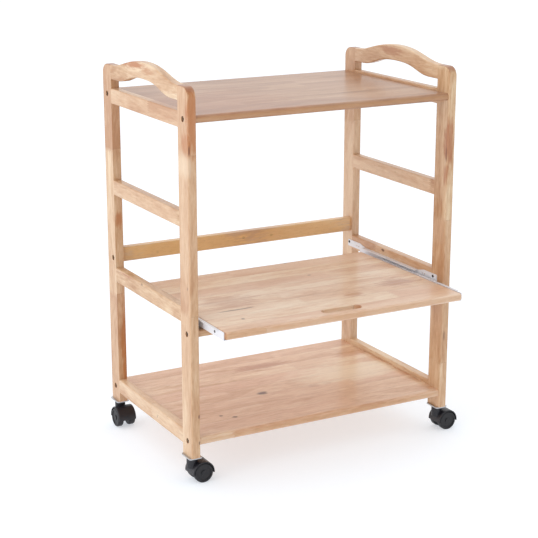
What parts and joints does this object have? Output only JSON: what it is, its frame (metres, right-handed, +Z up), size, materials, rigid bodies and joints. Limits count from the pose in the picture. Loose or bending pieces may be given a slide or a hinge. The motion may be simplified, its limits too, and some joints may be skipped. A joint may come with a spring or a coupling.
{
  "type": "microwave rack",
  "caption": "Wooden kitchen rack on swivel casters, with arched carrying handles, fixed upper and lower shelves and a pull-out shelf with a hand slot on roller slides.",
  "frame": {"origin": "on the floor, under the centre of the whole rack's box with the shelf drawn out as stored", "axes": "+Z up, +X along the rack's width to the right seen from the front, +Y to the back"},
  "size_m": [0.6424, 0.487, 0.803],
  "materials": {
    "frame_wood": "clear satin lacquer on pale solid hardwood",
    "board_wood": "clear satin lacquer on edge-glued hardwood",
    "dowel_wood": "raw",
    "white_steel": "white epoxy",
    "white_nylon": "moulded",
    "zinc_steel": "zinc plated",
    "black_nylon": "moulded, slightly glossy",
    "black_tread": "moulded"
  },
  "bodies": {
    "rack": {"left_front_post": "frame_wood", "left_rear_post": "frame_wood", "right_front_post": "frame_wood", "right_rear_post": "frame_wood", "left_top_rail": "frame_wood", "left_middle_rail": "frame_wood", "left_lower_rail": "frame_wood", "left_bottom_rail": "frame_wood", "right_top_rail": "frame_wood", "right_middle_rail": "frame_wood", "right_lower_rail": "frame_wood", "right_bottom_rail": "frame_wood", "left_handle": "frame_wood", "right_handle": "frame_wood", "rear_rail": "frame_wood", "front_rail": "frame_wood", "top_shelf": "board_wood", "bottom_shelf": "board_wood", "frame_dowels": "dowel_wood", "board_dowels": "dowel_wood", "connector_bolts": "zinc_steel", "barrel_nuts": "zinc_steel", "left_channel": "white_steel", "right_channel": "white_steel", "front_roller_pins": "zinc_steel", "channel_screws": "zinc_steel", "front_left_plate": "zinc_steel", "front_right_plate": "zinc_steel", "rear_left_plate": "zinc_steel", "rear_right_plate": "zinc_steel", "kingpins": "zinc_steel", "caster_screws": "zinc_steel"},
    "pull_out_shelf": {"sliding_shelf": "board_wood", "left_track": "white_steel", "right_track": "white_steel", "rear_roller_pins": "zinc_steel", "track_screws": "zinc_steel"},
    "left_front_roller": {"left_front_roller": "white_nylon"},
    "left_rear_roller": {"left_rear_roller": "white_nylon"},
    "right_front_roller": {"right_front_roller": "white_nylon"},
    "right_rear_roller": {"right_rear_roller": "white_nylon"},
    "front_left_caster": {"front_left_hood": "black_nylon", "front_left_axle": "zinc_steel"},
    "front_left_wheel_a": {"front_left_wheel_a": "black_tread"},
    "front_left_wheel_b": {"front_left_wheel_b": "black_tread"},
    "front_right_caster": {"front_right_hood": "black_nylon", "front_right_axle": "zinc_steel"},
    "front_right_wheel_a": {"front_right_wheel_a": "black_tread"},
    "front_right_wheel_b": {"front_right_wheel_b": "black_tread"},
    "rear_left_caster": {"rear_left_hood": "black_nylon", "rear_left_axle": "zinc_steel"},
    "rear_left_wheel_a": {"rear_left_wheel_a": "black_tread"},
    "rear_left_wheel_b": {"rear_left_wheel_b": "black_tread"},
    "rear_right_caster": {"rear_right_hood": "black_nylon", "rear_right_axle": "zinc_steel"},
    "rear_right_wheel_a": {"rear_right_wheel_a": "black_tread"},
    "rear_right_wheel_b": {"rear_right_wheel_b": "black_tread"}
  },
  "joints": [
    {"name": "shelf_slide", "type": "slide", "parent": "rack", "child": "pull_out_shelf", "axis": [0, -1, 0], "range_m": [-0.087, 0.165]},
    {"name": "left_front_roller_spin", "type": "hinge", "parent": "rack", "child": "left_front_roller", "pos_m": [-0.28625, -0.1205, 0.3243], "axis": [1, 0, 0], "continuous": true},
    {"name": "left_rear_roller_spin", "type": "hinge", "parent": "pull_out_shelf", "child": "left_rear_roller", "pos_m": [-0.28575, 0.0685, 0.3233], "axis": [1, 0, 0], "continuous": true},
    {"name": "right_front_roller_spin", "type": "hinge", "parent": "rack", "child": "right_front_roller", "pos_m": [0.26575, -0.1205, 0.3243], "axis": [1, 0, 0], "continuous": true},
    {"name": "right_rear_roller_spin", "type": "hinge", "parent": "pull_out_shelf", "child": "right_rear_roller", "pos_m": [0.26525, 0.0685, 0.3233], "axis": [1, 0, 0], "continuous": true},
    {"name": "front_left_swivel", "type": "hinge", "parent": "rack", "child": "front_left_caster", "pos_m": [-0.30125, -0.1355, 0.03], "axis": [0, 0, 1], "continuous": true},
    {"name": "front_left_wheel_a_roll", "type": "hinge", "parent": "front_left_caster", "child": "front_left_wheel_a", "pos_m": [-0.28425, -0.1355, 0.02], "axis": [0, -1, 0], "continuous": true},
    {"name": "front_left_wheel_b_roll", "type": "hinge", "parent": "front_left_caster", "child": "front_left_wheel_b", "pos_m": [-0.28425, -0.1355, 0.02], "axis": [0, -1, 0], "continuous": true},
    {"name": "front_right_swivel", "type": "hinge", "parent": "rack", "child": "front_right_caster", "pos_m": [0.28075, -0.1355, 0.03], "axis": [0, 0, 1], "continuous": true},
    {"name": "front_right_wheel_a_roll", "type": "hinge", "parent": "front_right_caster", "child": "front_right_wheel_a", "pos_m": [0.29775, -0.1355, 0.02], "axis": [0, -1, 0], "continuous": true},
    {"name": "front_right_wheel_b_roll", "type": "hinge", "parent": "front_right_caster", "child": "front_right_wheel_b", "pos_m": [0.29775, -0.1355, 0.02], "axis": [0, -1, 0], "continuous": true},
    {"name": "rear_left_swivel", "type": "hinge", "parent": "rack", "child": "rear_left_caster", "pos_m": [-0.30125, 0.2225, 0.03], "axis": [0, 0, 1], "continuous": true},
    {"name": "rear_left_wheel_a_roll", "type": "hinge", "parent": "rear_left_caster", "child": "rear_left_wheel_a", "pos_m": [-0.30125, 0.2055, 0.02], "axis": [-1, 0, 0], "continuous": true},
    {"name": "rear_left_wheel_b_roll", "type": "hinge", "parent": "rear_left_caster", "child": "rear_left_wheel_b", "pos_m": [-0.30125, 0.2055, 0.02], "axis": [-1, 0, 0], "continuous": true},
    {"name": "rear_right_swivel", "type": "hinge", "parent": "rack", "child": "rear_right_caster", "pos_m": [0.28075, 0.2225, 0.03], "axis": [0, 0, 1], "continuous": true},
    {"name": "rear_right_wheel_a_roll", "type": "hinge", "parent": "rear_right_caster", "child": "rear_right_wheel_a", "pos_m": [0.28075, 0.2055, 0.02], "axis": [-1, 0, 0], "continuous": true},
    {"name": "rear_right_wheel_b_roll", "type": "hinge", "parent": "rear_right_caster", "child": "rear_right_wheel_b", "pos_m": [0.28075, 0.2055, 0.02], "axis": [-1, 0, 0], "continuous": true}
  ],
  "couplings": [
    {"joint": "left_front_roller_spin", "follows": "shelf_slide", "rad_per_m": 151.52},
    {"joint": "left_rear_roller_spin", "follows": "shelf_slide", "rad_per_m": 151.52},
    {"joint": "right_front_roller_spin", "follows": "shelf_slide", "rad_per_m": 151.52},
    {"joint": "right_rear_roller_spin", "follows": "shelf_slide", "rad_per_m": 151.52}
  ]
}
